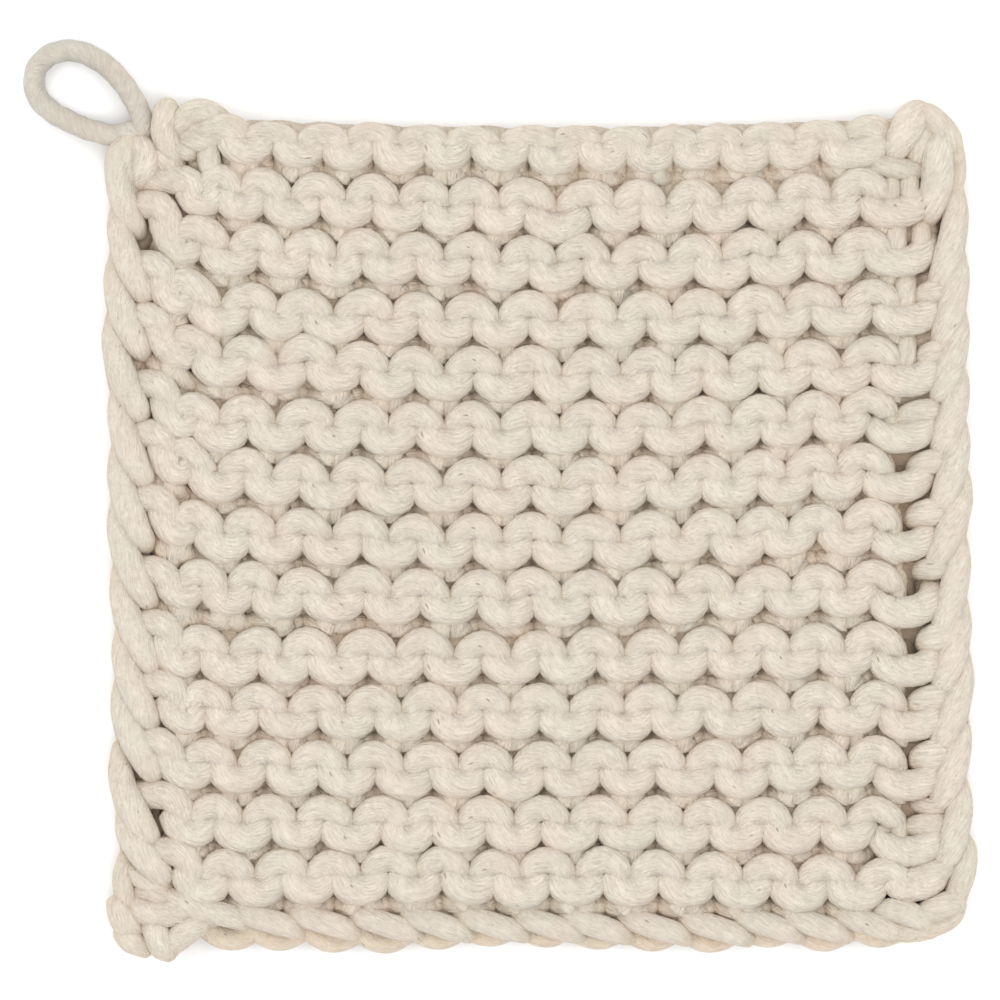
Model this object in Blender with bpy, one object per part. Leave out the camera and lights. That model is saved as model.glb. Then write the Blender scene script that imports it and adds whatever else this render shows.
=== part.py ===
"""A square pot holder, knitted in garter stitch from thick cotton yarn, with a cord loop to hang it by.

Metres, +Z up. It lies flat on its back: the underside is at Z = 0 and the origin is under the middle of
the square. +Y points to the edge where the knitting was bound off, and the loop is at the -X +Y corner.
The tables are in millimetres, as a ruler reads them on the cloth.
"""

import collections
import math
import random

import bmesh
import bpy
import mathutils

MM = 0.001
OBJECT_NAME = "knitted_pot_holder"

# Driving sizes, in millimetres
THICKNESS = 13.0  # over the bumps of both faces
BUMPS = 13  # yarn bumps in a ridge, between its first and last pinch
TABLE_X = 74.0  # how far from the middle the left and right columns of RIDGES were read
CORD_DIAMETER = 5.2
CORD_POINTS = 34
CORD_ROUNDING = 2  # the curve's bevel resolution: 8 sides
STEPS_BETWEEN_STOPS = 12  # of the smooth line that the cord's points are read from

# The unevenness of hand knitting
HEIGHT_SPREAD = 0.05  # share of a bump's height
SIDE_SPREAD = 0.3  # millimetres, across the cloth
SEED = 14

# How high a row of points lies, as a share of half the thickness
EDGE_HEIGHT = 0.3  # lower rows are the cloth's own edge
VALLEY_HEIGHT = 0.5  # lower rows are valleys, where the side chain dips too
FLAT_HEIGHT = 0.98  # higher points keep their height, so that the bumps touch the surface evenly

COTTON = (0.775, 0.716, 0.610, 1.0)
CORD_COTTON = (0.80, 0.74, 0.64, 1.0)
COTTON_ROUGHNESS = 0.95

# One row for each ridge of the front, from the top edge down. start is where it leaves the side chain,
# first and last are the first and last pinch between its bumps, and left, middle and right are the
# heights of the valley under it.
Ridge = collections.namedtuple("Ridge", "start first last left middle right")
RIDGES = (
    Ridge(-84.0, -74.5, 88.5, 85.0, 83.0, 84.5),
    Ridge(-84.0, -74.5, 89.0, 72.0, 68.5, 71.0),
    Ridge(-92.0, -79.0, 91.0, 59.0, 55.5, 57.5),
    Ridge(-93.0, -81.5, 91.5, 45.0, 42.0, 45.0),
    Ridge(-93.0, -80.0, 91.5, 33.5, 29.0, 32.0),
    Ridge(-93.0, -80.0, 90.5, 18.0, 16.5, 19.5),
    Ridge(-93.0, -81.5, 89.5, 6.5, 3.0, 7.0),
    Ridge(-92.5, -79.5, 90.5, -7.5, -10.0, -6.5),
    Ridge(-91.5, -78.5, 91.5, -20.5, -22.5, -20.5),
    Ridge(-91.0, -79.0, 92.5, -36.0, -36.5, -35.0),
    Ridge(-90.5, -78.0, 91.5, -49.0, -49.5, -48.0),
    Ridge(-91.0, -76.5, 91.0, -61.5, -63.0, -61.5),
    Ridge(-89.5, -75.5, 93.0, -75.0, -75.5, -75.0),
    Ridge(-87.5, -73.0, 91.5, -88.0, -87.5, -88.3),
)

# The outline, as it goes in and out past the chains of the four edges: (y, x) down the two sides ...
LEFT_EDGE = (
    (100.8, -88.0),
    (96.0, -96.0),
    (90.0, -99.5),
    (84.0, -101.0),
    (76.5, -100.0),
    (68.0, -101.0),
    (60.5, -99.9),
    (52.5, -101.3),
    (43.5, -102.0),
    (35.0, -101.3),
    (26.5, -102.3),
    (15.5, -100.6),
    (9.5, -101.4),
    (4.5, -100.3),
    (-4.0, -100.4),
    (-14.0, -102.0),
    (-24.0, -100.2),
    (-37.0, -98.9),
    (-45.5, -100.6),
    (-53.0, -99.6),
    (-60.0, -100.6),
    (-68.5, -98.9),
    (-76.5, -97.5),
    (-84.0, -98.9),
    (-89.5, -100.8),
    (-94.5, -99.4),
    (-98.0, -96.8),
    (-100.8, -90.0),
)
RIGHT_EDGE = (
    (100.8, 88.0),
    (97.0, 94.5),
    (92.5, 99.1),
    (86.5, 100.1),
    (79.5, 99.5),
    (72.5, 100.6),
    (69.0, 99.9),
    (62.5, 101.2),
    (57.0, 99.9),
    (51.5, 100.8),
    (36.5, 101.5),
    (25.5, 99.9),
    (10.5, 102.3),
    (-0.5, 99.6),
    (-7.0, 100.7),
    (-14.0, 99.6),
    (-25.0, 100.7),
    (-34.0, 102.1),
    (-44.5, 100.6),
    (-54.0, 101.1),
    (-72.0, 100.1),
    (-78.5, 102.5),
    (-84.0, 101.3),
    (-89.5, 99.8),
    (-94.5, 97.5),
)
# ... and (x, y) along the top and the bottom
TOP_EDGE = (
    (-88.0, 100.8),
    (-78.0, 100.3),
    (-74.0, 98.5),
    (-70.5, 96.5),
    (-55.0, 95.8),
    (-30.0, 94.6),
    (0.0, 94.6),
    (70.0, 94.6),
    (78.0, 96.6),
    (82.0, 96.8),
    (84.5, 99.6),
    (88.0, 100.8),
    (93.0, 98.5),
)
BOTTOM_EDGE = (
    (-96.5, -99.0),
    (-89.0, -100.8),
    (-84.5, -100.0),
    (-77.0, -97.0),
    (-35.0, -98.3),
    (0.0, -97.0),
    (40.0, -98.2),
    (80.0, -97.3),
    (88.0, -95.2),
    (98.0, -94.2),
)

# A row of points across the cloth. place is where it lies, counted in ridges down from the upper edge at
# 0: a whole number is the valley under that ridge. pinch, side and middle are the heights at a pinch
# between two lower bumps, beside it and at a bump's middle, where 0 is half way through the cloth and 1
# its surface. wave is how far the row swings up the cloth at a pinch, in millimetres.
Row = collections.namedtuple("Row", "place pinch side middle wave")
FRONT_TOP = (
    Row(0.00, 0.20, 0.20, 0.20, 0.0),
    Row(0.12, 0.74, 0.74, 0.72, 0.0),
)
FRONT_RIDGE = (
    Row(0.25, 1.00, 0.94, 0.62, 0.5),
    Row(0.50, 0.72, 0.66, 0.72, -1.0),
    Row(0.75, 0.58, 0.93, 1.00, -0.2),
    Row(1.00, 0.32, 0.42, 0.54, 0.8),
)
FRONT_BOTTOM = (
    Row(14.30, 0.96, 1.00, 0.92, 0.0),
    Row(14.58, 0.55, 0.60, 0.66, 0.6),
    Row(14.82, 0.55, 0.76, 0.84, 0.4),
    Row(15.00, 0.20, 0.20, 0.20, 0.9),
)
# The underside is pressed flat where it touches, and its ridges lie between those of the front.
BACK_TOP = (
    Row(0.00, 0.20, 0.20, 0.20, 0.0),
    Row(0.12, 0.74, 0.74, 0.74, 0.0),
    Row(0.28, 1.00, 1.00, 1.00, 0.0),
    Row(0.50, 0.48, 0.50, 0.54, 0.0),
)
BACK_RIDGE = (
    Row(0.75, 1.00, 1.00, 0.72, 0.4),
    Row(1.00, 1.00, 1.00, 1.00, -0.8),
    Row(1.25, 0.70, 1.00, 1.00, -0.2),
    Row(1.50, 0.40, 0.44, 0.50, 0.6),
)
BACK_BOTTOM = (
    Row(13.75, 1.00, 1.00, 0.72, 0.4),
    Row(14.00, 1.00, 1.00, 1.00, -0.8),
    Row(14.25, 0.80, 1.00, 1.00, -0.2),
    Row(14.60, 0.95, 1.00, 1.00, 0.0),
    Row(14.82, 0.66, 0.74, 0.78, 0.3),
    Row(15.00, 0.20, 0.20, 0.20, 0.9),
)
FRONT_COLUMNS = 4  # points across a bump
BACK_COLUMNS = 2
# The chain down each side, as (its share of the way from the edge to the first bump, its height)
FRONT_CHAIN = ((0.0, 0.20), (0.22, 0.74), (0.60, 0.98))
BACK_CHAIN = ((0.0, 0.20), (0.35, 1.00))
CHAIN_DIP = 0.24  # how much lower the side chain is beside a valley
SIDE_X = 97.0  # how far from the middle a side's outline is read for a row
BOTTOM_START = -84.0  # where the rows along the lower edge leave the corner

# The cord's middle line, from where it leaves the corner, round the loop and back. It lies on the
# surface, and rises to the middle of the cloth's thickness at both ends, clear of the knitting.
Stop = collections.namedtuple("Stop", "x y z")
LOOP_ROUTE = (
    Stop(-93.3, 98.2, 6.5),
    Stop(-95.4, 102.0, 5.6),
    Stop(-98.2, 105.8, 4.0),
    Stop(-101.2, 108.8, 3.0),
    Stop(-105.3, 111.4, 2.7),
    Stop(-109.9, 112.5, 2.7),
    Stop(-114.1, 111.5, 2.7),
    Stop(-117.0, 109.0, 2.7),
    Stop(-118.1, 105.3, 2.7),
    Stop(-117.2, 101.5, 2.7),
    Stop(-114.4, 98.4, 2.7),
    Stop(-110.2, 95.9, 2.8),
    Stop(-105.6, 93.9, 3.8),
    Stop(-99.5, 92.4, 5.9),
)


def along(table, at):
    """The value that a table of pairs gives at a place, on straight lines from pair to pair."""
    pairs = sorted(table)
    if at <= pairs[0][0]:
        return pairs[0][1]
    for (low, first), (high, second) in zip(pairs, pairs[1:]):
        if at <= high:
            return first + (second - first) * (at - low) / (high - low)
    return pairs[-1][1]


def valley(ridge, x):
    """How far up the cloth the valley under a ridge is, on a parabola through its three readings."""
    t = x / TABLE_X
    lean = (ridge.right - ridge.left) / 2
    sag = (ridge.right + ridge.left) / 2 - ridge.middle
    return ridge.middle + lean * t + sag * t * t


def whole_place(number, x):
    """How far up the cloth the place with that whole number is: an edge of the cloth or a valley."""
    if number == 0:
        return along(TOP_EDGE, x)
    if number > len(RIDGES):
        return along(BOTTOM_EDGE, x)
    return valley(RIDGES[number - 1], x)


def up_the_cloth(place, x):
    number = min(int(place), len(RIDGES))
    above, below = whole_place(number, x), whole_place(number + 1, x)
    return above + (below - above) * (place - number)


def bump_columns(ridge, start, per_bump):
    """[(x, phase)] along a ridge: phase runs from 0 at a pinch between two bumps to 1 at the next."""
    width = (ridge.last - ridge.first) / BUMPS
    pinches = [start] + [ridge.first + i * width for i in range(BUMPS + 1)]
    found = []
    for low, high in zip(pinches, pinches[1:]):
        for i in range(per_bump):
            found.append((low + (high - low) * i / per_bump, i / per_bump))
    return found + [(ridge.last, 0.0)]


def row_points(row, ridge, face, chance):
    """The points of one row of a face, from the left edge to the right one."""
    start = BOTTOM_START if row.place > len(RIDGES) else ridge.start
    left = along(LEFT_EDGE, up_the_cloth(row.place, -SIDE_X))
    right = along(RIGHT_EDGE, up_the_cloth(row.place, SIDE_X))
    in_valley = row.side < VALLEY_HEIGHT
    on_edge = row.side < EDGE_HEIGHT
    heights = {0.0: row.pinch, 0.5: row.middle}
    line = []
    for x, phase in bump_columns(ridge, start, face.per_bump):
        y = up_the_cloth(row.place, x) + row.wave * math.cos(math.tau * phase)
        height = heights.get(phase, row.side)
        if not on_edge:
            x += chance.uniform(-SIDE_SPREAD, SIDE_SPREAD)
            if height < FLAT_HEIGHT:
                height *= 1 - HEIGHT_SPREAD * chance.random()
        line.append((x, y, height))
    for share, height in reversed(face.chain):
        height = min(height, row.side) if on_edge else height - CHAIN_DIP * (in_valley and share > 0)
        x_left = left + (start - left) * share
        x_right = right + (ridge.last - right) * share
        line.insert(0, (x_left, up_the_cloth(row.place, x_left), height))
        line.append((x_right, up_the_cloth(row.place, x_right), height))
    return [(x, y, THICKNESS / 2 * (1 + face.up * height)) for x, y, height in line]


Face = collections.namedtuple("Face", "up top ridge bottom ridges per_bump chain")
FRONT = Face(1, FRONT_TOP, FRONT_RIDGE, FRONT_BOTTOM, len(RIDGES), FRONT_COLUMNS, FRONT_CHAIN)
BACK = Face(-1, BACK_TOP, BACK_RIDGE, BACK_BOTTOM, len(RIDGES) - 1, BACK_COLUMNS, BACK_CHAIN)


def face_points(face, chance):
    """All the points of a face, as rows from the upper edge down."""
    rows = [row_points(row, RIDGES[0], face, chance) for row in face.top]
    for i in range(face.ridges):
        for row in face.ridge:
            moved = row._replace(place=row.place + i)
            rows.append(row_points(moved, RIDGES[i], face, chance))
    rows += [row_points(row, RIDGES[-1], face, chance) for row in face.bottom]
    return rows


def add_face(bm, rows, up):
    """A grid with its points moved to the rows. It gives the grid's points back as rows too."""
    across, down = len(rows[0]) - 1, len(rows) - 1
    grid = bmesh.ops.create_grid(bm, x_segments=across, y_segments=down, size=1)
    points = [[None] * (across + 1) for _ in rows]
    for point in grid["verts"]:
        column = round((1 + point.co.x) / 2 * across)
        row = round((1 - point.co.y) / 2 * down)
        point.co = [value * MM for value in rows[row][column]]
        points[row][column] = point
    for square in {square for point in grid["verts"] for square in point.link_faces}:
        fold(square, up)
    return points


def fold(square, up):
    """Splits a four-sided face along its higher diagonal, so that the bumps are round and not hollow."""
    a, b, c, d = square.verts
    if (a.co.z + c.co.z - b.co.z - d.co.z) * up > 0:
        bmesh.utils.face_split(square, a, c)
    else:
        bmesh.utils.face_split(square, b, d)


def partners(front_count, back_count):
    """For each point along an edge of the front, the number of the point of the back that it joins."""
    found = []
    ratio = FRONT_COLUMNS // BACK_COLUMNS
    front_chain, back_chain = len(FRONT_CHAIN), len(BACK_CHAIN)
    for i in range(front_count):
        from_right = front_count - 1 - i
        if i < front_chain:
            found.append(min(i, back_chain - 1))
        elif from_right < front_chain:
            found.append(back_count - 1 - min(from_right, back_chain - 1))
        else:
            found.append(back_chain + (i - front_chain) // ratio)
    return found


def add_rim(bm, front, back, joins):
    """The strip of faces between an edge of the front and the same edge of the back."""
    for i in range(len(front) - 1):
        corners = [front[i], front[i + 1], back[joins[i + 1]]]
        if joins[i] != joins[i + 1]:
            corners.append(back[joins[i]])
        bm.faces.new(corners)


def knitted_square():
    """The knitting, as one solid with its ridges and bumps raised on both faces."""
    chance = random.Random(SEED)
    bm = bmesh.new()
    front = add_face(bm, face_points(FRONT, chance), FRONT.up)
    back = add_face(bm, face_points(BACK, chance), BACK.up)
    joins = partners(len(front[0]), len(back[0]))
    one_to_one = range(len(front))
    add_rim(bm, front[0], back[0], joins)
    add_rim(bm, front[-1], back[-1], joins)
    add_rim(bm, [row[0] for row in front], [row[0] for row in back], one_to_one)
    add_rim(bm, [row[-1] for row in front], [row[-1] for row in back], one_to_one)
    bmesh.ops.recalc_face_normals(bm, faces=bm.faces[:])
    mesh = bpy.data.meshes.new("knitted_square")
    bm.to_mesh(mesh)
    bm.free()
    mesh.shade_smooth()
    return bpy.data.objects.new("knitted_square", mesh)


def smooth_line(stops, count):
    """count points, evenly spaced, on a smooth curve through the stops."""
    ends = [stops[0]] + list(stops) + [stops[-1]]
    fine = []
    for before, start, end, after in zip(ends, ends[1:], ends[2:], ends[3:]):
        before, start, end, after = map(mathutils.Vector, (before, start, end, after))
        pull, push = start + (end - before) / 6, end - (after - start) / 6
        fine += mathutils.geometry.interpolate_bezier(start, pull, push, end, STEPS_BETWEEN_STOPS)[:-1]
    fine.append(mathutils.Vector(stops[-1]))
    lengths = [0.0]
    for low, high in zip(fine, fine[1:]):
        lengths.append(lengths[-1] + (high - low).length)
    wanted = [lengths[-1] * i / (count - 1) for i in range(count)]
    axes = [list(zip(lengths, [point[k] for point in fine])) for k in range(3)]
    return [[along(axis, at) for axis in axes] for at in wanted]


def hanging_loop():
    """The cord, as a tube along its middle line."""
    curve = bpy.data.curves.new("hanging_loop", "CURVE")
    curve.dimensions = "3D"
    curve.bevel_depth = CORD_DIAMETER / 2 * MM
    curve.bevel_resolution = CORD_ROUNDING
    curve.use_fill_caps = True
    spline = curve.splines.new("POLY")
    spline.points.add(CORD_POINTS - 1)
    for point, place in zip(spline.points, smooth_line(LOOP_ROUTE, CORD_POINTS)):
        point.co = [value * MM for value in place] + [1.0]
    return bpy.data.objects.new("hanging_loop", curve)


def cotton(name, colour):
    material = bpy.data.materials.new(name)
    material.use_nodes = True
    shader = material.node_tree.nodes["Principled BSDF"]
    shader.inputs["Base Color"].default_value = colour
    shader.inputs["Roughness"].default_value = COTTON_ROUGHNESS
    shader.inputs["Metallic"].default_value = 0.0
    return material


def clear_scene():
    for thing in list(bpy.data.objects):
        bpy.data.objects.remove(thing, do_unlink=True)


def main():
    clear_scene()
    collection = bpy.data.collections.new(OBJECT_NAME)
    bpy.context.scene.collection.children.link(collection)
    square, loop = knitted_square(), hanging_loop()
    square.data.materials.append(cotton("yarn", COTTON))
    loop.data.materials.append(cotton("cord", CORD_COTTON))
    for piece in (square, loop):
        collection.objects.link(piece)


main()
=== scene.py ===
"""The looks of a square pot holder, knitted in garter stitch from thick cotton yarn, with a cord loop.

Every row of the knitting is a swept yarn that follows the path of a real one: its heads and sinkers show as
bumps on one face or the other, and its legs cross from face to face between the ridges. The chains down the
two sides, the cast-on edge and the corners are shorter yarns laid through places listed one by one, and the
bound-off edge is a rope.
Sizes are in millimetres until a mesh is made, unless a comment says metres. Places that were read from the
photograph are in pixels of its 1000 x 1000 frame, and the function at_pixel turns them into millimetres.
"""

import collections
import math

import bpy
import numpy as np
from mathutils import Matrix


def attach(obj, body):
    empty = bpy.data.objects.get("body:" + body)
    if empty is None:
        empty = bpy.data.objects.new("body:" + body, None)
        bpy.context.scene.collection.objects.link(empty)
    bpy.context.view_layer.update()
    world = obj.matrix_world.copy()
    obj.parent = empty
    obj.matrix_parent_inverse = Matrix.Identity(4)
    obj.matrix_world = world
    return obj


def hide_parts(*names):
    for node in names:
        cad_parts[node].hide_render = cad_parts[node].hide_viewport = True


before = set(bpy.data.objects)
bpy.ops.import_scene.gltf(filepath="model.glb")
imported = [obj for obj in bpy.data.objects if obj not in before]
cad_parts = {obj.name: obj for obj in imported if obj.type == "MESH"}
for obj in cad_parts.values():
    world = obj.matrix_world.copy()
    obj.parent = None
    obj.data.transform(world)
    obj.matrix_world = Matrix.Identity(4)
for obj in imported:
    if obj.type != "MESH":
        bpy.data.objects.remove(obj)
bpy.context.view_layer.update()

MM = 0.001
PIXEL = 0.2339  # millimetres
FRAME_PIXELS = 1000
MIDDLE_U = 538.0  # where the frame's origin is in the photograph
MIDDLE_V = 530.0
MID_Z = 6.5  # half of the cloth's thickness

# One row for each ridge of the front, from the top edge down. left, middle and right are the pixel rows of
# its lowest points near the left side, in the middle and near the right side, last is that of its last lower
# bump, and first that of the middle of its first upper bump, or 0 where that isn't by the left side. hump is
# how many pixels its leftmost bumps rise over the others. pinches are the pixel columns where one lower bump
# meets the next.
Ridge = collections.namedtuple("Ridge", "left middle right last first hump pinches")
RIDGES = (
    Ridge(167, 176, 170, 172, 0, 0,
          (220, 274, 324, 374, 424, 471, 529, 578, 626, 673, 719, 766, 820, 870)),
    Ridge(222, 238, 228, 230, 181, 9,
          (182, 219, 264, 321, 372, 425, 475, 524, 590, 640, 692, 748, 803, 859, 918)),
    Ridge(279, 293, 286, 279, 206, 34,
          (156, 200, 258, 310, 360, 416, 472, 529, 583, 639, 695, 749, 804, 861, 928)),
    Ridge(338, 351, 338, 337, 266, 34,
          (153, 190, 251, 302, 365, 420, 472, 527, 588, 644, 699, 756, 811, 871, 930)),
    Ridge(388, 406, 395, 397, 317, 31,
          (147, 197, 248, 307, 362, 414, 473, 534, 589, 650, 701, 757, 809, 871, 930)),
    Ridge(453, 460, 447, 454, 385, 22,
          (155, 195, 247, 304, 361, 416, 473, 531, 590, 641, 703, 760, 812, 867, 925)),
    Ridge(503, 518, 500, 504, 435, 29,
          (154, 190, 245, 300, 358, 413, 473, 531, 591, 645, 701, 758, 812, 861, 920)),
    Ridge(562, 573, 558, 563, 499, 25,
          (155, 198, 248, 303, 362, 417, 473, 532, 591, 651, 709, 761, 816, 871, 925)),
    Ridge(618, 628, 618, 628, 571, 19,
          (157, 203, 253, 302, 365, 420, 480, 533, 591, 646, 706, 762, 819, 873, 930)),
    Ridge(685, 686, 680, 687, 624, 23,
          (159, 200, 258, 307, 368, 425, 482, 540, 596, 651, 705, 761, 817, 872, 933)),
    Ridge(740, 743, 737, 742, 684, 16,
          (164, 205, 258, 319, 375, 430, 483, 541, 598, 651, 702, 762, 819, 878, 930)),
    Ridge(795, 801, 793, 801, 741, 16,
          (157, 212, 267, 318, 375, 431, 484, 542, 600, 653, 715, 767, 819, 875, 928)),
    Ridge(852, 854, 853, 867, 795, 14,
          (165, 215, 272, 322, 384, 431, 487, 541, 598, 656, 709, 763, 820, 872, 935)),
    Ridge(907, 906, 912, 901, 852, 20,
          (175, 226, 283, 334, 388, 443, 495, 548, 604, 657, 714, 771, 825, 884, 930)),
)
# The pixel columns of middle and right. That of left is as far from the middle as that of right.
READ_MIDDLE_U, READ_RIGHT_U = 530.0, 850.0
HALF_RIDGE = 7.0  # from a ridge's middle line to its lowest points
HUMP_FROM_U, HUMP_TO_U = 207.0, 157.0  # a ridge starts to rise at the first and has risen at the second
HUMP_POWER = 1.6  # it rises slowly at first
EDGE_RIDGE = 0.14  # the bound-off edge folds the topmost back ridge down behind the first front one
HALF_STITCH = 6.5  # from the outermost columns to the sinkers past them

# Half a stitch of yarn, from the middle of its sinker to the middle of its head. across is the share of
# the way from the column's middle to the sinker's. up is the height over the middle line of the ridge that
# the knot is on, the sinker's or the head's. out is how far it stands from the middle of the cloth on the
# sinker's side, and radius is the yarn's own.
Knot = collections.namedtuple("Knot", "across up out radius")
SINKER = (
    Knot(1.00, -3.25, 2.75, 3.75),
    Knot(0.64, -2.80, 2.80, 3.65),
    Knot(0.36, -1.35, 2.55, 3.30),
    Knot(0.22, 0.45, 1.40, 2.85),
)
HEAD = (
    Knot(0.76, -7.40, -1.30, 2.95),
    Knot(0.76, -0.90, -1.15, 2.75),
    Knot(0.61, 1.15, -2.45, 3.05),
    Knot(0.36, 2.85, -3.10, 3.25),
    Knot(0.00, 3.60, -3.15, 3.35),
)
TOP_HEAD = (
    Knot(0.76, -7.40, -1.30, 2.95),
    Knot(0.80, -1.60, -1.30, 2.75),
    Knot(0.70, 0.20, -2.30, 2.90),
    Knot(0.38, 1.35, -2.75, 2.95),
    Knot(0.00, 1.60, -2.80, 2.95),
)

# How a yarn goes on from the middle of the last sinker in front and of the last one at the back, to end
# under the right-hand chain, and how it comes to the first head from under the left-hand chain: steps
# across, up and in front in millimetres, and the change of its radius
LAST_SINKER = ((3.6, 0.4, 0.0, 0.0), (6.0, 1.7, -0.5, -0.1), (7.4, 3.6, -2.0, -0.4), (7.6, 5.6, -4.0, -0.8))
LAST_BACK_SINKER = ((5.0, 0.8, 0.1, 0.0), (9.5, 3.0, 1.2, -0.8))
FIRST_HEAD = ((1.0, 0.6, -5.0, -0.8), (0.78, 0.5, -3.8, -0.4), (0.45, 0.3, -1.9, 0.0))
FIRST_HEAD_U = 128.0  # it starts at this pixel column, and its steps across are shares of the way there
HUMP_ACROSS, HUMP_LEAN, HUMP_SIZE = 1.0, -0.20, 1.04  # how the first head of a ridge differs

SEED = 5
# The yarns' unevenness, one standard deviation of each
BUMP_ACROSS, BUMP_UP, BUMP_OUT, BUMP_SIZE, BUMP_LEAN = 0.22, 0.30, 0.12, 0.030, 0.05
KNOT_WOBBLE = 0.05
DROOP_RIDGE, DROOP_BUMP, DROOP = 1, 8, 1.6  # one lower bump of the second ridge hangs down farther

# Yarns that are laid through places listed one by one. Each place on one is a pixel column, a pixel row, how
# many millimetres it is in front of the middle of the cloth, and the yarn's radius there.
CORNERS = dict(
    corner_top_left=(
        ((138, 143, 0.5, 2.6), (146, 153, 3.0, 3.1), (145, 169, 3.2, 3.2), (138, 182, 1.0, 2.6)),
        ((127, 142, 0.0, 2.4), (119, 156, 2.0, 2.9), (119, 180, 2.9, 3.1), (125, 205, 3.1, 3.2),
         (134, 223, 2.2, 2.8), (138, 232, -0.5, 2.2)),
        ((130, 136, -0.5, 2.4), (128, 150, 1.4, 2.9), (128, 170, 1.6, 3.0), (131, 190, 0.0, 2.6)),
        ((167, 109, 0.0, 2.8), (166, 114, 2.3, 3.0), (164, 132, 3.4, 3.0), (171, 150, 2.9, 2.9),
         (176, 163, 0.2, 2.3)),
        ((175, 136, 0.5, 2.4), (182, 123, 2.4, 2.9), (196, 113, 2.9, 3.0), (210, 113, 2.3, 2.9),
         (225, 122, 0.0, 2.4)),
        ((199, 137, 0.8, 2.4), (211, 129, 3.0, 2.9), (226, 127, 3.3, 3.0), (240, 131, 1.7, 2.7),
         (247, 140, -0.3, 2.2)),
        ((179, 136, 0.3, 2.3), (191, 140, 2.9, 2.6), (206, 142, 3.0, 2.6), (221, 138, 0.3, 2.2)),
        ((176, 147, 0.8, 2.4), (186, 151, 2.4, 2.4), (195, 153, 0.3, 2.2)),
        ((208, 143, 0.6, 2.4), (209, 155, 2.5, 2.7), (211, 167, 2.5, 2.7), (214, 178, 0.3, 2.4)),
        ((148, 146, -0.4, 2.4), (157, 155, 1.7, 2.9), (167, 163, 1.9, 2.9), (178, 168, 0.2, 2.4)),
    ),
    corner_top_right=(
        ((890, 156, 0.3, 2.8), (897, 145, 2.8, 3.5), (906, 130, 3.3, 4.1), (913, 118, 2.2, 3.8),
         (918, 112, -0.6, 3.0)),
        ((912, 114, -0.6, 2.8), (926, 117, 1.4, 3.2), (939, 127, 1.9, 3.2), (949, 140, 1.4, 3.0),
         (953, 154, -0.6, 2.4)),
        ((919, 118, -0.5, 2.6), (921, 134, 1.7, 2.9), (918, 150, 1.7, 2.9), (914, 165, -0.2, 2.4)),
        ((937, 136, 0.6, 2.6), (937, 153, 3.0, 3.6), (936, 180, 3.3, 3.8), (932, 204, 2.9, 3.4),
         (928, 218, 0.0, 2.5)),
        ((952, 138, -0.8, 2.3), (955, 158, 0.6, 2.4), (955, 178, 0.7, 2.4), (951, 192, -0.8, 2.2)),
        ((846, 141, 0.3, 2.4), (858, 131, 2.4, 3.0), (873, 129, 2.5, 3.1), (888, 136, 0.3, 2.5)),
        ((864, 160, -0.3, 2.2), (880, 166, 2.8, 2.5), (900, 169, 3.0, 2.5), (920, 170, 0.8, 2.3)),
    ),
    corner_bottom_left=(
        ((127, 858, 0.0, 2.2), (123, 876, 1.6, 2.4), (126, 896, 1.8, 2.5), (132, 911, 0.0, 2.2)),
        ((117, 903, 0.3, 2.6), (121, 914, 2.5, 3.1), (128, 924, 2.4, 3.0), (140, 932, 0.0, 2.4)),
        ((123, 932, 0.6, 2.6), (132, 941, 2.1, 2.8), (146, 948, 0.2, 2.4)),
        ((150, 916, 0.3, 2.4), (156, 931, 2.6, 3.1), (162, 945, 2.2, 3.1), (169, 952, 0.2, 2.5)),
        ((207, 919, 0.3, 2.4), (192, 927, 2.5, 3.1), (179, 938, 2.3, 3.1), (169, 947, 0.0, 2.4)),
        ((128, 867, 0.0, 2.2), (140, 876, 2.0, 2.5), (154, 884, 2.2, 2.5), (167, 888, 0.2, 2.2)),
        ((136, 894, 0.0, 2.2), (147, 892, 1.9, 2.4), (159, 895, 2.3, 2.5), (171, 903, 0.4, 2.2)),
        ((131, 903, 0.2, 2.4), (145, 911, 2.6, 3.0), (163, 914, 3.1, 3.1), (180, 911, 2.6, 2.9),
         (192, 905, 0.0, 2.3)),
        ((163, 893, -0.5, 2.3), (175, 898, 1.9, 2.6), (189, 904, 2.7, 2.9), (203, 911, 2.4, 2.9),
         (216, 917, 0.5, 2.4)),
    ),
    corner_bottom_right=(
        ((960, 838, -0.8, 2.3), (965, 850, 1.2, 2.7), (964, 866, 2.4, 2.9), (959, 884, 2.4, 2.9),
         (951, 902, 0.0, 2.4)),
        ((918, 918, -0.4, 2.4), (930, 910, 2.4, 3.0), (944, 904, 2.9, 3.1), (955, 898, 1.2, 2.7),
         (960, 889, -0.8, 2.3)),
        ((893, 886, 0.3, 2.4), (905, 881, 2.5, 2.9), (925, 875, 3.1, 3.1), (942, 868, 2.4, 2.9),
         (953, 860, 0.0, 2.4)),
        ((898, 932, -1.6, 2.4), (917, 928, -0.5, 2.9), (937, 923, -0.3, 2.9), (951, 915, -0.7, 2.7),
         (957, 904, -1.8, 2.2)),
        ((876, 915, -0.4, 2.4), (887, 910, 2.3, 2.9), (903, 911, 2.9, 3.0), (919, 918, 2.1, 2.9),
         (931, 926, -0.3, 2.4)),
    ),
)

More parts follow.
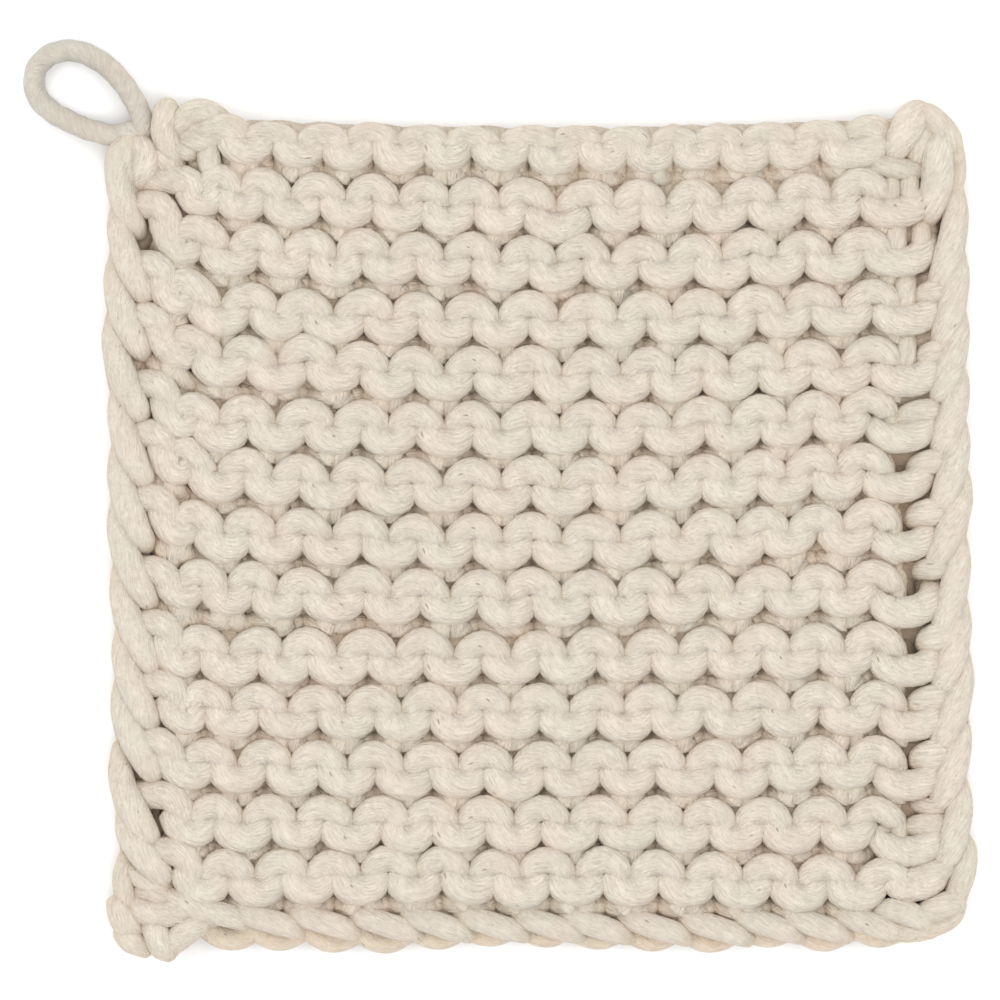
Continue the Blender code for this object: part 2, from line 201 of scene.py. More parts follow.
# The links of the chains down the two sides: where each shows first at the outer edge, and its tip
Link = collections.namedtuple("Link", "from_u from_v tip_u tip_v")
LEFT_CHAIN = (
    Link(108, 215, 141, 298), Link(104, 272, 138, 353), Link(102, 330, 137, 417), Link(108, 399, 141, 482),
    Link(108, 458, 141, 545), Link(107, 515, 145, 603), Link(109, 580, 149, 668), Link(112, 640, 147, 724),
    Link(110, 697, 151, 775), Link(108, 762, 147, 840), Link(114, 820, 161, 878),
)
RIGHT_CHAIN = (
    Link(966, 195, 942, 286), Link(966, 253, 945, 343), Link(967, 312, 943, 398), Link(967, 370, 944, 450),
    Link(968, 425, 943, 508), Link(972, 482, 939, 561), Link(968, 540, 945, 631), Link(969, 603, 945, 689),
    Link(973, 662, 943, 746), Link(970, 722, 943, 803), Link(969, 784, 949, 863),
)
# A place on a link: the share of the way from its start to its tip, how far in from that line in pixels,
# how far in front of the middle, and its radius. At LINK_TURN it turns from the front to the back.
LINK_TURN = (-0.17, 20, 0.0, 2.3)
LINK = ((0.02, 12, 1.2, 2.8), (0.25, 5, 2.6, 3.1), (0.52, 3, 3.5, 3.4),
        (0.75, 3, 3.6, 3.4), (0.91, 4, 2.8, 3.1), (0.99, 5, 0.2, 2.5))
# The back's half of a link ends this many pixels lower, and is at most this far in front of the middle
LINK_BACK, LINK_BACK_OUT = 27.0, -2.0

# The last stitches of the fourth to thirteenth ridges, on the right, where the thirteenth has two: the
# pixel column of the left end, the pixel row of the middle, how steep it is and how thick. All start at the
# same column, under the chain. A place on one is the share of its width, from there to its left end, how
# many pixels it is lower than the middle, how far it is in front, and its radius.
Last = collections.namedtuple("Last", "left middle steep size")
RIGHT_LOOPS = (
    Last(919, 291, 1.0, 1.0), Last(922, 351, 1.0, 1.0), Last(898, 411, 1.0, 1.0), Last(914, 461, 0.8, 1.0),
    Last(913, 511, 0.8, 1.1), Last(919, 567, 0.4, 0.9), Last(926, 636, 0.7, 1.2), Last(914, 697, 1.0, 1.1),
    Last(918, 753, 0.8, 1.2), Last(914, 806, -0.3, 0.7), Last(909, 823, 0.5, 0.9),
)
RIGHT_LOOP_U = 955.0
RIGHT_LOOP = (
    (0.0, -6, -1.6, 2.4), (0.28, -2, 1.0, 2.8), (0.58, 1, 2.6, 3.1), (0.86, 5, 1.6, 2.8),
    (1.0, 11, -0.8, 2.3),
)
# Legs that show between the last bumps of the second to fifth ridges: pixel column, pixel row and radius. A
# place on one is how many pixels it is lower than that, and how far it is in front.
RIGHT_LEGS = (
    (891, 190, 2.1), (909, 190, 2.4), (895, 241, 2.7), (921, 242, 2.4), (905, 293, 2.6), (906, 352, 2.4),
)
RIGHT_LEG = ((-20, -0.8), (-8, 1.7), (3, 2.2), (12, 1.5), (22, -0.5))
# The rows whose heads show on the ridges OPEN_FROM to OPEN_TO, counted from 0, end in an open place. This
# many of their knots lie there.
OPEN_FROM, OPEN_TO, END_KNOTS = 5, 11, 4
# Yarns that run up the back behind the ends of the ridges: pixel column, first and last pixel row. Their
# places are BACK_RUN_STEP rows apart, in turn BACK_RUN_WAVE columns to the right and to the left.
BACK_RUNS = ((142, 165, 900), (159, 740, 945), (906, 150, 905), (932, 150, 905))
BACK_RUN_STEP, BACK_RUN_WAVE, BACK_RUN_OUT, BACK_RUN_RADIUS = 29, 4, -3.4, 3.1

# The cast-on edge, from left to right: the middles of its slanting beads, and of the lower scallops. A place
# on one is the pixel columns and rows from its middle, how far it is in front, and its radius.
Cast = collections.namedtuple("Cast", "bead_u bead_v scallop_u scallop_v")
CAST_ON = (
    Cast(215, 912, 231, 952), Cast(268, 920, 279, 952), Cast(324, 922, 334, 954), Cast(385, 924, 384, 955),
    Cast(437, 924, 437, 951), Cast(492, 924, 489, 948), Cast(548, 925, 545, 949), Cast(596, 926, 597, 951),
    Cast(655, 927, 652, 953), Cast(716, 928, 711, 954), Cast(768, 925, 768, 949), Cast(815, 925, 824, 953),
    Cast(868, 923, 880, 949),
)
BEAD = (
    (-33, -12, -0.6, 2.2), (-21, -7, 2.0, 2.7), (0, -1, 3.0, 2.85), (19, 5, 2.4, 2.7), (32, 11, -0.4, 2.1),
)
SCALLOP = (
    (-29, -27, -1.0, 2.4), (-15, -17, -2.3, 2.8), (0, -13, -2.6, 2.9), (15, -17, -2.3, 2.8),
    (29, -27, -1.0, 2.4),
)

# The rope of the bound-off edge: the pixel columns where it starts and ends and from one knot to the next,
# and then its height over the first ridge's middle line, how much it waves up and down, how far it is in
# front, and its radius
BIND_FROM_U, BIND_TO_U, BIND_STEP = 222, 900, 26
BIND_UP, BIND_WAVE, BIND_OUT, BIND_RADIUS = 1.7, 0.25, -0.4, 2.95

# How a yarn is swept: rings to each knot, sides, the length in which it turns around once, and how many
# plies show and how deep the grooves between them are, as a share of the radius
Make = collections.namedtuple("Make", "rings sides lay plies ply_depth")
ROW_YARN = Make(2, 20, 55.0, 0, 0.0)
HAND_YARN = ROW_YARN._replace(rings=5)
ROPE = Make(4, 20, 16.0, 2, 0.10)
CORD = Make(14, 48, 13.0, 3, 0.06)
START_SIDE = (0.3, 0.2, 1.0)  # any direction that no yarn starts in
# The rings that round off a yarn's end: how far past the end each is and how wide, in radii
END_RINGS = ((0.28, 0.92), (0.48, 0.72), (0.60, 0.40))
# The yarns' lumps are waves: how long they are, how often they go around, and how much they shift from yarn
# to yarn
LUMPS = ((1.3, 2, 1.0), (2.1, -1, 2.0), (0.8, 3, 3.0), (3.7, 1, 1.7))
LUMP_SIZE = 0.012
FLAT_UNDER = 0.5  # below this height a yarn is pressed flat by what it lies on
STRAND_SHIFT = 37.0  # between the strands of a piece in the texture, so that they don't look the same

# The cord loop, as in the CAD model, and its ends inside the corner, in metres
LOOP_ROUTE = (
    (-0.0933, 0.0982, 0.0065), (-0.0954, 0.1020, 0.0056), (-0.0982, 0.1058, 0.0040),
    (-0.1012, 0.1088, 0.0030), (-0.1053, 0.1114, 0.0027), (-0.1099, 0.1125, 0.0027),
    (-0.1141, 0.1115, 0.0027), (-0.1170, 0.1090, 0.0027), (-0.1181, 0.1053, 0.0027),
    (-0.1172, 0.1015, 0.0027), (-0.1144, 0.0984, 0.0027), (-0.1102, 0.0959, 0.0028),
    (-0.1056, 0.0939, 0.0038), (-0.0995, 0.0924, 0.0059),
)
LOOP_STARTS = ((-0.0925, 0.0905, 0.0050), (-0.0922, 0.0942, 0.0068))
LOOP_ENDS = ((-0.0950, 0.0930, 0.0068), (-0.0920, 0.0915, 0.0050))
CORD_DIAMETER = 0.0052

# The cotton's darkest and lightest colours, and how deep its fibres are in metres
YARN_COLOURS = (0.79, 0.685, 0.555), (0.94, 0.85, 0.72)
CORD_COLOURS = (0.582, 0.546, 0.485), (0.668, 0.650, 0.600)
YARN_FIBRE_DEPTH, CORD_FIBRE_DEPTH = 0.0008, 0.0004
ROUGHNESS, SHEEN, SHEEN_ROUGHNESS = 0.95, 0.25, 0.6
# Noises. stretch is how much a millimetre along the yarn counts, and a noise in space has none.
Noise = collections.namedtuple("Noise", "stretch scale detail roughness distortion")
STREAKS = Noise(0.07, 7.5, 5.0, 0.72, 0.6)
FIBRES = Noise(0.16, 9.0, 3.0, 0.60, 0.30)
PLIES = Noise(0.06, 3.0, 1.5, 0.5, 0.4)
FUZZ = Noise(None, 1500.0, 3.0, 0.6, 0.0)
PATCHES = Noise(None, 75.0, 2.0, 0.5, 0.0)
MOTTLES = Noise(None, 430.0, 2.0, 0.6, 0.0)
FLECK_STRETCH, FLECK_SCALE = 0.13, 0.9
PLY_WEIGHT, FUZZ_WEIGHT = 1.5, 0.45  # in the relief, where the streaks and the fibres have 1
STREAK_FROM, STREAK_TO = 0.36, 0.53  # the streaks go from the darkest to the lightest colour between these
# What the colour is multiplied with, by a value: by first where it is up to start, by last where it is from
# end on, and by a mix between the two. The values are the noise of the fibres, the depth in the cloth, the
# noises of the patches and the mottles, and the distance to a fleck. The tint by the fibres is a painted
# highlight of shining fibres, and that by the depth is painted shade, warmer near the middle as in the
# creases. The tint for the depth in the open places by the sides is painted shade too, dark brown.
Tint = collections.namedtuple("Tint", "start end first last")
WHITE = (1.0, 1.0, 1.0)
# painted highlight: specks along the fibres are lighter and bluer, as of fibres that shine
FIBRE_HIGHLIGHT_TINT = Tint(0.60, 0.70, WHITE, (1.04, 1.08, 1.14))
# painted shade: yarn near the middle of the cloth is tinted warmer, like crease shade; at the faces, darker
DEPTH_SHADE_TINT = Tint(0.15, 0.75, (1.04, 0.985, 0.91), (0.96, 0.96, 0.955))
# painted shade: the yarn in the open places by the sides is dark brown near the middle of the cloth
OPEN_SHADE_TINT = DEPTH_SHADE_TINT._replace(first=(0.52, 0.44, 0.36))
PATCH_TINT = Tint(0.40, 0.60, (1.015, 0.982, 0.975), (0.99, 1.0, 0.993))
MOTTLE_TINT = Tint(0.40, 0.60, (0.962, 0.960, 0.955), (1.03, 1.03, 1.03))
FLECK_TINT = Tint(0.045, 0.075, (0.55, 0.50, 0.44), WHITE)

# The camera, the floor and the lights, in metres
CAMERA_HEIGHT = 1.5
SENSOR_WIDTH = 36  # millimetres
CLIP_START = 0.05
FLOOR_REACH = 3.0
FLOOR_COLOUR, FLOOR_ROUGHNESS = (0.96, 0.96, 0.96, 1), 0.9
DAYLIGHT_COLOUR, DAYLIGHT = (1, 1, 1, 1), 0.90
Lamp = collections.namedtuple("Lamp", "name place watts size")
LAMPS = (
    Lamp("key", (-0.1, 0.85, 1.1), 3.5, 0.8),
    Lamp("front", (0.05, -0.3, 1.2), 2.9, 0.5),
    Lamp("left", (-0.9, -0.05, 0.95), 2.6, 0.5),
    Lamp("right", (0.9, -0.05, 0.95), 2.6, 0.5),
)


def at_pixel(u, v):
    """Millimetres across and up the cloth, of a pixel of the photograph."""
    return (u - MIDDLE_U) * PIXEL, (MIDDLE_V - v) * PIXEL


def ridge_line(number, x):
    """How far up the cloth the middle line of a ridge is. A fraction lies between two ridges."""
    low = min(max(int(math.floor(number)), 0), len(RIDGES) - 2)
    u = x / PIXEL + MIDDLE_U
    t = (u - READ_MIDDLE_U) / (READ_RIGHT_U - READ_MIDDLE_U)
    rise = min(max((HUMP_FROM_U - u) / (HUMP_FROM_U - HUMP_TO_U), 0.0), 1.0) ** HUMP_POWER
    heights = []
    for ridge in RIDGES[low:low + 2]:
        lean = (ridge.right - ridge.left) / 2
        sag = (ridge.right + ridge.left) / 2 - ridge.middle
        v = ridge.middle + lean * t + sag * t * t - ridge.hump * rise
        heights.append((MIDDLE_V - v) * PIXEL + HALF_RIDGE)
    return heights[0] + (heights[1] - heights[0]) * (number - low)


def catmull_rom(points, per_span):
    """A smooth line through the points, with per_span samples to each span."""
    p = np.vstack([2 * points[0] - points[1], points, 2 * points[-1] - points[-2]])
    t = np.arange(per_span)[:, None] / per_span
    spans = []
    for i in range(len(points) - 1):
        a, b, c, d = p[i], p[i + 1], p[i + 2], p[i + 3]
        spans.append(0.5 * (2 * b + (c - a) * t + (2 * a - 5 * b + 4 * c - d) * t ** 2
                            + (3 * b - a - 3 * c + d) * t ** 3))
    return np.vstack(spans + [points[-1:]])


def across(line):
    """Two directions across the line at each point, turning as little as possible along it."""
    ahead = np.gradient(line, axis=0)
    ahead /= np.linalg.norm(ahead, axis=1)[:, None]
    side = np.cross(ahead[0], START_SIDE)
    sides = []
    for way in ahead:
        side = side - way * side.dot(way)
        side /= np.linalg.norm(side)
        sides.append(side)
    sides = np.array(sides)
    return sides, np.cross(ahead, sides)


def rounded_ends(line, radii):
    """The line and its radii, with the rings past both ends added."""
    for _ in range(2):
        ahead = line[-1] - line[-2]
        ahead = ahead / np.linalg.norm(ahead) * radii[-1]
        line = np.vstack([line] + [line[-1] + ahead * on for on, wide in END_RINGS])
        radii = np.append(radii, [radii[-1] * wide for on, wide in END_RINGS])
        line, radii = line[::-1], radii[::-1]
    return line, radii


def sweep(knots, make=ROW_YARN):
    """A tube through knots of (x, y, z, radius). It gives its rings of points, and how far along each is."""
    line = catmull_rom(np.array(knots, float), make.rings)
    line, radii = rounded_ends(line[:, :3], line[:, 3])
    one, two = across(line)
    steps = np.linalg.norm(np.diff(line, axis=0), axis=1)
    run = np.concatenate([[0.0], np.cumsum(steps)])
    around = np.arange(make.sides) / make.sides * math.tau
    turn = around[None, :] + run[:, None] / make.lay * math.tau
    lobe = 1 - make.ply_depth * (1 - np.abs(np.cos(around * make.plies / 2)))
    lumps = sum(np.sin(run[:, None] / length + turns * around[None, :] + shift * knots[0][0])
                for length, turns, shift in LUMPS)
    r = radii[:, None] * lobe[None, :] * (1 + LUMP_SIZE * lumps)
    points = (line[:, None, :] + one[:, None, :] * (np.cos(turn) * r)[:, :, None]
              + two[:, None, :] * (np.sin(turn) * r)[:, :, None])
    return points, run


def side_faces(rings, sides):
    """The faces along a strand, four point numbers each."""
    i = np.arange(rings - 1)[:, None] * sides
    j = np.arange(sides)[None, :]
    k = (j + 1) % sides
    return np.stack([i + j, i + k, i + sides + k, i + sides + j], axis=-1).reshape(-1, 4)


def side_uvs(along, sides):
    """The UVs of those faces: millimetres along the strand, and the share of the way around it."""
    v0 = np.broadcast_to(np.arange(sides)[None, :] / sides, (len(along) - 1, sides))
    v1 = v0 + 1 / sides
    u0 = np.broadcast_to(along[:-1, None], v0.shape)
    u1 = np.broadcast_to(along[1:, None], v0.shape)
    return np.stack([u0, v0, u0, v1, u1, v1, u1, v0], axis=-1).reshape(-1, 2)


def pressed_flat(points):
    """The points, with what is under FLAT_UNDER pressed together above the surface."""
    z = points[:, 2]
    low = FLAT_UNDER * np.exp((z - FLAT_UNDER) / FLAT_UNDER)
    return np.column_stack([points[:, :2], np.where(z < FLAT_UNDER, low, z)])


def fill_mesh(mesh, verts, quads, caps, uvs):
    """Puts points in metres and faces into a mesh. The caps come last, and have no UVs of their own."""
    cap_sizes = [len(cap) for cap in caps]
    loops = np.concatenate([quads.ravel()] + [np.array(cap) for cap in caps])
    cap_starts = len(quads) * 4 + np.concatenate([[0], np.cumsum(cap_sizes)[:-1]])
    starts = np.concatenate([np.arange(len(quads)) * 4, cap_starts])
    totals = np.concatenate([np.full(len(quads), 4), cap_sizes])
    uvs = np.vstack([uvs, np.zeros((sum(cap_sizes), 2))])
    mesh.vertices.add(len(verts))
    mesh.vertices.foreach_set("co", verts.astype(np.float32).ravel())
    mesh.loops.add(len(loops))
    mesh.loops.foreach_set("vertex_index", loops.astype(np.int32))
    mesh.polygons.add(len(starts))
    mesh.polygons.foreach_set("loop_start", starts.astype(np.int32))
    mesh.polygons.foreach_set("loop_total", totals.astype(np.int32))
    layer = mesh.uv_layers.new(name="yarn")
    layer.data.foreach_set("uv", uvs.astype(np.float32).ravel())
    mesh.update(calc_edges=True)
    mesh.validate()
    mesh.shade_smooth()


def mesh_of(name, strands, material):
    """One object made of the strands, each a closed tube."""
    verts, quads, caps, uvs = [], [], [], []
    offset = 0
    for number, (points, run) in enumerate(strands):
        rings, sides = points.shape[:2]
        end = offset + rings * sides
        verts.append(points.reshape(-1, 3))
        quads.append(side_faces(rings, sides) + offset)
        uvs.append(side_uvs(run + STRAND_SHIFT * number, sides))
        caps.append(list(range(offset + sides - 1, offset - 1, -1)))
        caps.append(list(range(end - sides, end)))
        offset = end
    mesh = bpy.data.meshes.new(name)
    fill_mesh(mesh, pressed_flat(np.vstack(verts)) * MM, np.vstack(quads), caps, np.vstack(uvs))
    mesh.materials.append(material)
    piece = bpy.data.objects.new(name, mesh)
    bpy.context.scene.collection.objects.link(piece)
    return piece


# How far a bump lies from its place in millimetres, its share of the others' size, and how steep it is
Bump = collections.namedtuple("Bump", "across up out size lean")


def bump(chance):
    """How one bump differs from the others."""
    return Bump(chance.normal(0, BUMP_ACROSS), chance.normal(0, BUMP_UP), chance.normal(0, BUMP_OUT),
                1 + chance.normal(0, BUMP_SIZE), chance.normal(0, BUMP_LEAN))


def half_stitch(column, sinker, base, top, face, low, high, chance):
    """The knots from the middle of a sinker to the middle of a head."""
    knots = []
    head = TOP_HEAD if top == 0 else HEAD
    for knot, share in [(k, 1.0) for k in SINKER] + [(k, 0.0) for k in head]:
        x = column + (sinker - column) * knot.across
        y = ridge_line(base if share else top, x) + knot.up
        for way, weight, centre in ((low, share, sinker), (high, 1 - share, column)):
            y += weight * (way.up + way.lean * (x - centre))
        x += share * low.across + (1 - share) * high.across
        z = MID_Z + face * knot.out + share * low.out + (1 - share) * high.out
        radius = knot.radius * (share * low.size + (1 - share) * high.size)
        wobble = chance.normal(0, KNOT_WOBBLE, 3)
        knots.append((x + wobble[0], y + wobble[1], z + wobble[2], radius))
    return knots


def beside(knot, steps):
    """The knots that lie these steps of across, up, in front and radius from one knot."""
    return [tuple(value + change for value, change in zip(knot, step)) for step in steps]


def row_bumps(columns, sinkers, base, top, face, chance):
    """How the sinkers and the heads of a row differ from even ones. The first head and the last sinker
    between two columns are put at the height that was read from the photograph, if they show."""
    lows = [bump(chance) for _ in sinkers]
    highs = [bump(chance) for _ in columns]
    if face == -1 and RIDGES[top].first:
        rise = at_pixel(0, RIDGES[top].first)[1] - HEAD[-1].up - ridge_line(top, columns[0])
        highs[0] = highs[0]._replace(across=HUMP_ACROSS, up=rise, lean=HUMP_LEAN, size=HUMP_SIZE)
    if face == 1:
        lowest = at_pixel(0, RIDGES[base].last)[1]
        rise = lowest + SINKER[0].radius - SINKER[0].up - ridge_line(base, sinkers[-2])
        lows[-2] = lows[-2]._replace(up=rise)
        if base == DROOP_RIDGE:
            lows[DROOP_BUMP] = lows[DROOP_BUMP]._replace(up=-DROOP)
    return lows, highs


def from_the_left(head):
    """The knots by which a yarn comes from under the left-hand chain to its first head."""
    way = at_pixel(FIRST_HEAD_U, 0)[0] - head[0]
    steps = [(share * way, up, out, radius) for share, up, out, radius in FIRST_HEAD]
    return beside(head, steps) + [head]


def stitch_row(columns, base, top, face, chance):
    """The knots of a row of stitches. base and top are the ridges of its sinkers and heads, and face is 1
    where its sinkers show in front and -1 where its heads do. The last column has no head, and both of its
    halves are drawn all the same, for the order of the draws."""
    sinkers = [(a + b) / 2 for a, b in zip(columns, columns[1:])]
    sinkers = [columns[0] - HALF_STITCH] + sinkers + [columns[-1] + HALF_STITCH]
    lows, highs = row_bumps(columns, sinkers, base, top, face, chance)
    knots = []
    for i, column in enumerate(columns):
        up = half_stitch(column, sinkers[i], base, top, face, lows[i], highs[i], chance)
        down = half_stitch(column, sinkers[i + 1], base, top, face, lows[i + 1], highs[i], chance)
        if i == len(columns) - 1:
            knots += [up[0]] + beside(up[0], LAST_SINKER if face == 1 else LAST_BACK_SINKER)
            break
        if i == 0:
            up = up[-1:] if face == 1 else from_the_left(up[-1])
        knots += up + down[::-1][1:-1]
    return knots


def hand_laid(places, face=1):
    """A short yarn through places of (pixel column, pixel row, height in front of the middle, radius)."""
    knots = []
    for u, v, out, radius in places:
        x, y = at_pixel(u, v)
        knots.append((x, y, MID_Z + face * out, radius))
    return sweep(knots, HAND_YARN)


def on_link(link, inward, place, down=0.0):
    """A place on a link of a side chain, whose tip is down pixels lower."""
    share, side, out, radius = place
    u = link.from_u + (link.tip_u - link.from_u) * share + inward * side
    return u, link.from_v + (link.tip_v + down - link.from_v) * share, out, radius


def chain(links, inward):
    """The strands of a side chain. inward is 1 on the left and -1 on the right."""
    backs = [(share, side, min(-out, LINK_BACK_OUT), radius) for share, side, out, radius in LINK]
    strands = []
    for link in links:
        front = [on_link(link, inward, place) for place in LINK]
        back = [on_link(link, inward, place, LINK_BACK) for place in backs]
        strands.append(hand_laid(front[::-1] + [on_link(link, inward, LINK_TURN)] + back))
    return strands


def edge_yarn(shape, u, v):
    """A short yarn of the cast-on edge, of this shape around a pixel."""
    return hand_laid([(u + du, v + dv, out, radius) for du, dv, out, radius in shape])


def cast_on():
    """The beads and the scallops of the cast-on edge."""
    strands = []
    for cast in CAST_ON:
        strands.append(edge_yarn(BEAD, cast.bead_u, cast.bead_v))
        strands.append(edge_yarn(SCALLOP, cast.scallop_u, cast.scallop_v))
    return strands


def bound_off():
    """The rope of the bound-off edge, which fills the dips behind the topmost bumps."""
    knots = []
    for number, u in enumerate(range(BIND_FROM_U, BIND_TO_U, BIND_STEP)):
        x = at_pixel(u, 0)[0]
        y = ridge_line(0, x) + BIND_UP + BIND_WAVE * (-1) ** number
        knots.append((x, y, MID_Z + BIND_OUT, BIND_RADIUS))
    return sweep(knots, ROPE)


def back_runs():
    """The yarns up the back, behind the ends of the ridges."""
    strands = []
    for u, first, last in BACK_RUNS:
        places = [(u + BACK_RUN_WAVE * (-1) ** number, v, BACK_RUN_OUT, BACK_RUN_RADIUS)
                  for number, v in enumerate(range(first, last, BACK_RUN_STEP))]
        strands.append(hand_laid(places))
    return strands


def last_stitches():
    """What shows of the last stitches between the ridges and the right-hand chain."""
    strands = []
    for last in RIGHT_LOOPS:
        width = RIGHT_LOOP_U - last.left
        places = [(RIGHT_LOOP_U - share * width, last.middle + last.steep * dv, out, radius * last.size)
                  for share, dv, out, radius in RIGHT_LOOP]
        strands.append(hand_laid(places))
    for u, v, radius in RIGHT_LEGS:
        strands.append(hand_laid([(u, v + dv, out, radius) for dv, out in RIGHT_LEG]))
    return strands


def node(tree, kind, **sockets):
    """A shader node with its settings (lower case) and its sockets' values or links (by name, or by number
    as in0, in1 and so on)."""
    made = tree.nodes.new(kind)
    for name, value in sockets.items():
        if hasattr(made, name):
            setattr(made, name, value)
            continue
        socket = made.inputs[int(name[2:]) if name.startswith("in") else name]
        if isinstance(value, bpy.types.NodeSocket):
            tree.links.new(value, socket)
        else:
            socket.default_value = value
    return made


def calculated(tree, operation, *values):
    """The result of a Math node."""
    sockets = {"in%d" % number: value for number, value in enumerate(values)}
    return node(tree, "ShaderNodeMath", operation=operation, **sockets).outputs[0]


def ramp(tree, factor, tint):
    """A colour that goes with the factor, from the tint's first to its last."""
    made = node(tree, "ShaderNodeValToRGB", in0=factor)
    first, last = made.color_ramp.elements
    first.position = tint.start
    first.color = (*tint.first, 1)
    last.position = tint.end
    last.color = (*tint.last, 1)
    return made.outputs[0]


# Where a point of a yarn is: in space, in millimetres along it, and around it
OnYarn = collections.namedtuple("OnYarn", "place run cos sin")


def on_yarn(tree):
    """Where the point is that is shaded, from the object's coordinates and the strands' UVs."""
    place = node(tree, "ShaderNodeTexCoord").outputs["Object"]
    uv = node(tree, "ShaderNodeUVMap", uv_map="yarn").outputs[0]
    parts = node(tree, "ShaderNodeSeparateXYZ", in0=uv)
    angle = calculated(tree, "MULTIPLY", parts.outputs[1], math.tau)
    cos = calculated(tree, "COSINE", angle)
    sin = calculated(tree, "SINE", angle)
    return OnYarn(place, parts.outputs[0], cos, sin)


def texture_place(tree, at, stretch):
    """Where a texture that follows the yarn is read, with no seam around it."""
    length = calculated(tree, "MULTIPLY", at.run, stretch)
    return node(tree, "ShaderNodeCombineXYZ", in0=at.cos, in1=at.sin, in2=length).outputs[0]


def noise(tree, at, kind):
    """One of the noises, on a yarn."""
    where = texture_place(tree, at, kind.stretch) if kind.stretch else at.place
    return node(tree, "ShaderNodeTexNoise", in0=where, Scale=kind.scale, Detail=kind.detail,
                Roughness=kind.roughness, Distortion=kind.distortion).outputs[0]


def relief(tree, at, streaks, fibres, fibre_depth):
    """The bump of the streaks, the fibres, the plies and the fuzz."""
    plies = calculated(tree, "MULTIPLY", noise(tree, at, PLIES), PLY_WEIGHT)
    height = calculated(tree, "ADD", fibres, plies)
    height = calculated(tree, "ADD", streaks, height)
    height = calculated(tree, "MULTIPLY_ADD", noise(tree, at, FUZZ), FUZZ_WEIGHT, height)
    return node(tree, "ShaderNodeBump", Strength=1.0, Distance=fibre_depth, Height=height).outputs[0]


def depth_in_cloth(tree, at):
    """0 at the middle of the cloth and 1 at its faces."""
    height = node(tree, "ShaderNodeSeparateXYZ", in0=at.place).outputs[2]
    depth = calculated(tree, "ABSOLUTE", calculated(tree, "SUBTRACT", height, MID_Z * MM))
    return calculated(tree, "DIVIDE", depth, MID_Z * MM)


def cotton_material(name, fibre_depth, colours, depth_shade_tint=DEPTH_SHADE_TINT):
    """Spun cotton, with streaks and flecks along it, fuzz, painted highlights on its shining fibres, and
    painted shade: a colour that changes with the depth in the cloth.
    """
    material = bpy.data.materials.new(name)
    material.use_nodes = True
    tree = material.node_tree
    shader = tree.nodes["Principled BSDF"]
    shader.inputs["Roughness"].default_value = ROUGHNESS
    shader.inputs["Sheen Weight"].default_value = SHEEN
    shader.inputs["Sheen Roughness"].default_value = SHEEN_ROUGHNESS
    at = on_yarn(tree)
    streaks = noise(tree, at, STREAKS)
    fibres = noise(tree, at, FIBRES)
    tree.links.new(relief(tree, at, streaks, fibres, fibre_depth), shader.inputs["Normal"])
    thread = texture_place(tree, at, FLECK_STRETCH)
    flecks = node(tree, "ShaderNodeTexVoronoi", in0=thread, Scale=FLECK_SCALE).outputs["Distance"]
    colour = ramp(tree, streaks, Tint(STREAK_FROM, STREAK_TO, *colours))
    # the fibres' tint is a painted highlight, and the depth's tint is painted shade
    tints = (
        (fibres, FIBRE_HIGHLIGHT_TINT), (depth_in_cloth(tree, at), depth_shade_tint), (noise(tree, at, PATCHES), PATCH_TINT),
        (noise(tree, at, MOTTLES), MOTTLE_TINT), (flecks, FLECK_TINT),
    )
    for factor, tint in tints:
        tinted = ramp(tree, factor, tint)
        colour = node(tree, "ShaderNodeVectorMath", operation="MULTIPLY", in0=colour, in1=tinted).outputs[0]
    tree.links.new(colour, shader.inputs["Base Color"])
    return material


def knit(material):
    """The rows of the ridges, a piece for each, and the ends of the back rows that lie in open places."""
    chance = np.random.default_rng(SEED)
    pieces, open_ends = [], []
    for k, ridge in enumerate(RIDGES):
        columns = [at_pixel(u, 0)[0] for u in ridge.pinches]
        heads = stitch_row(columns, k + 0.5, k, -1, chance)
        if OPEN_FROM <= k <= OPEN_TO:
            open_ends.append(sweep(heads[-END_KNOTS - 1:], HAND_YARN))
            heads = heads[:-END_KNOTS]
        sinkers = stitch_row(columns, k, max(k - 0.5, EDGE_RIDGE), 1, chance)
        pieces.append(mesh_of("rows_%02d" % (k + 1), [sweep(heads), sweep(sinkers)], material))
    return pieces, open_ends


def edges(material, inside, open_ends):
    """The pieces around the rows. What lies in the open places by the sides has its own material, with
    painted shade: it is dark brown where it lies deep in the cloth.
    """
    pieces = [
        mesh_of("left_chain", chain(LEFT_CHAIN, 1), material),
        mesh_of("right_chain", chain(RIGHT_CHAIN, -1) + last_stitches(), material),
        mesh_of("cast_on_edge", cast_on(), material),
        mesh_of("bound_off_edge", [bound_off()], material),
        # painted shade on the back runs and the open ends: dark brown deep in the cloth
        mesh_of("back_runs", back_runs() + open_ends, inside),
    ]
    for name, strands in CORNERS.items():
        both_faces = [hand_laid(strand, face) for strand in strands for face in (1, -1)]
        pieces.append(mesh_of(name, both_faces, material))
    return pieces


def hanging_loop(material):
    """The cord loop, with its ends in the corner."""
    route = np.array(LOOP_STARTS + LOOP_ROUTE + LOOP_ENDS) / MM
    knots = np.column_stack([route, np.full(len(route), CORD_DIAMETER / 2 / MM)])
    points, run = sweep(knots, CORD)
    piece = mesh_of("hanging_loop_cord", [(points, run)], material)
    return piece


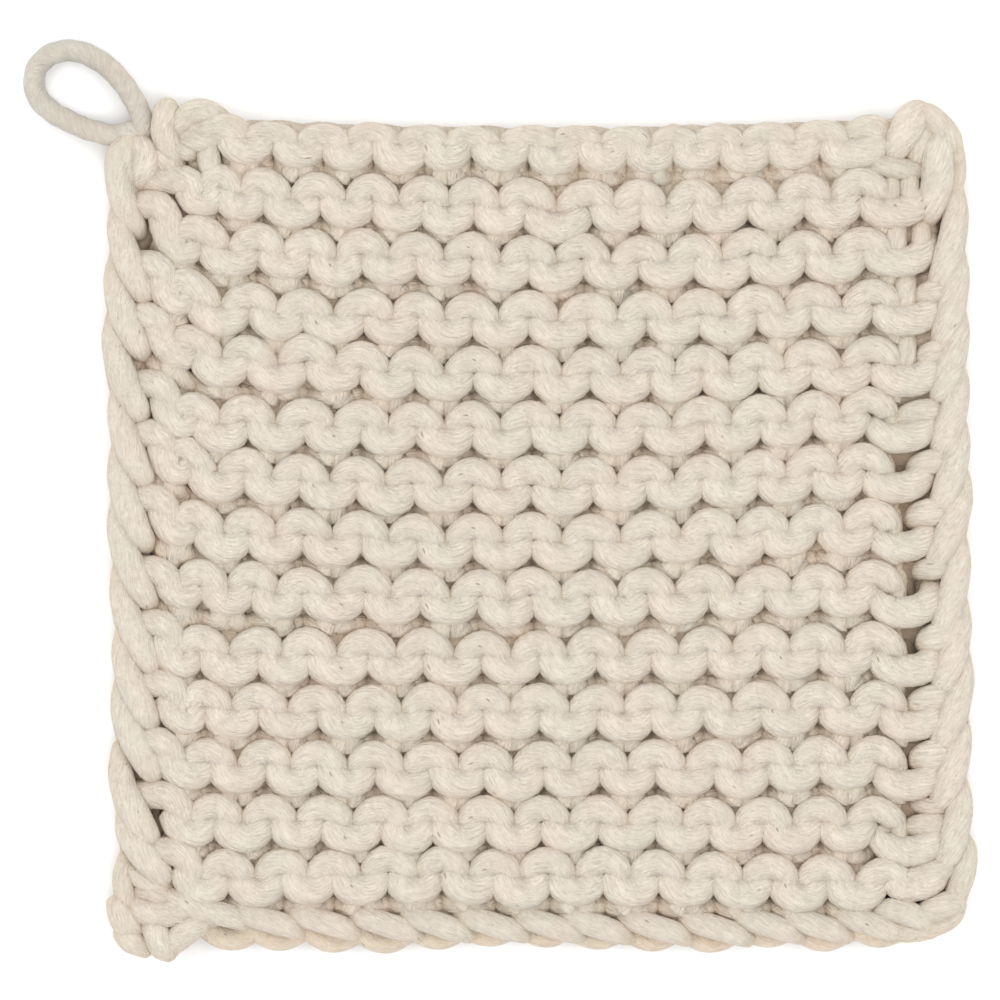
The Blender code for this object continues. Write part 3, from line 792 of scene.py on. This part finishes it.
def camera():
    """Straight above the middle of the frame, and as wide as the photograph at the middle of the cloth."""
    data = bpy.data.cameras.new("camera")
    cam = bpy.data.objects.new("camera", data)
    bpy.context.scene.collection.objects.link(cam)
    x, y = at_pixel(FRAME_PIXELS / 2, FRAME_PIXELS / 2)
    cam.location = (x * MM, y * MM, CAMERA_HEIGHT)
    data.sensor_width = SENSOR_WIDTH
    data.lens = SENSOR_WIDTH * (CAMERA_HEIGHT - MID_Z * MM) / (FRAME_PIXELS * PIXEL * MM)
    data.clip_start = CLIP_START
    bpy.context.scene.camera = cam


def floor():
    """A plain pale floor."""
    far = FLOOR_REACH
    mesh = bpy.data.meshes.new("floor")
    mesh.from_pydata([(-far, -far, 0), (far, -far, 0), (far, far, 0), (-far, far, 0)], [], [(0, 1, 2, 3)])
    obj = bpy.data.objects.new("floor", mesh)
    bpy.context.scene.collection.objects.link(obj)
    material = bpy.data.materials.new("floor")
    material.use_nodes = True
    shader = material.node_tree.nodes["Principled BSDF"]
    shader.inputs["Base Color"].default_value = FLOOR_COLOUR
    shader.inputs["Roughness"].default_value = FLOOR_ROUGHNESS
    mesh.materials.append(material)


def lights():
    """Even daylight from all around, and the lamps."""
    world = bpy.data.worlds.new("world")
    bpy.context.scene.world = world
    world.use_nodes = True
    background = world.node_tree.nodes["Background"]
    background.inputs["Color"].default_value = DAYLIGHT_COLOUR
    background.inputs["Strength"].default_value = DAYLIGHT
    for lamp in LAMPS:
        hang(lamp)


def hang(lamp):
    """A square soft light that points at the middle of the cloth."""
    data = bpy.data.lights.new(lamp.name, "AREA")
    data.energy = lamp.watts
    data.size = lamp.size
    light = bpy.data.objects.new(lamp.name, data)
    bpy.context.scene.collection.objects.link(light)
    light.location = lamp.place
    light.rotation_euler = (-light.location).to_track_quat("-Z", "Y").to_euler()


bpy.context.scene.view_settings.view_transform = "Standard"
camera()
cotton = cotton_material("cotton_yarn", YARN_FIBRE_DEPTH, YARN_COLOURS)
# painted shade: a dark brown copy of the yarn, for the open places by the sides
painted_shade_cotton = cotton_material("cotton_yarn_deep", YARN_FIBRE_DEPTH, YARN_COLOURS, OPEN_SHADE_TINT)
cord_cotton = cotton_material("cotton_cord", CORD_FIBRE_DEPTH, CORD_COLOURS)
loop = hanging_loop(cord_cotton)
floor()
lights()
rows, open_ends = knit(cotton)
knitting = rows + edges(cotton, painted_shade_cotton, open_ends)
for piece in knitting:
    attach(piece, "root")
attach(loop, "root")
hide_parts("hanging_loop")
for piece in knitting:
    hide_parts("knitted_square")
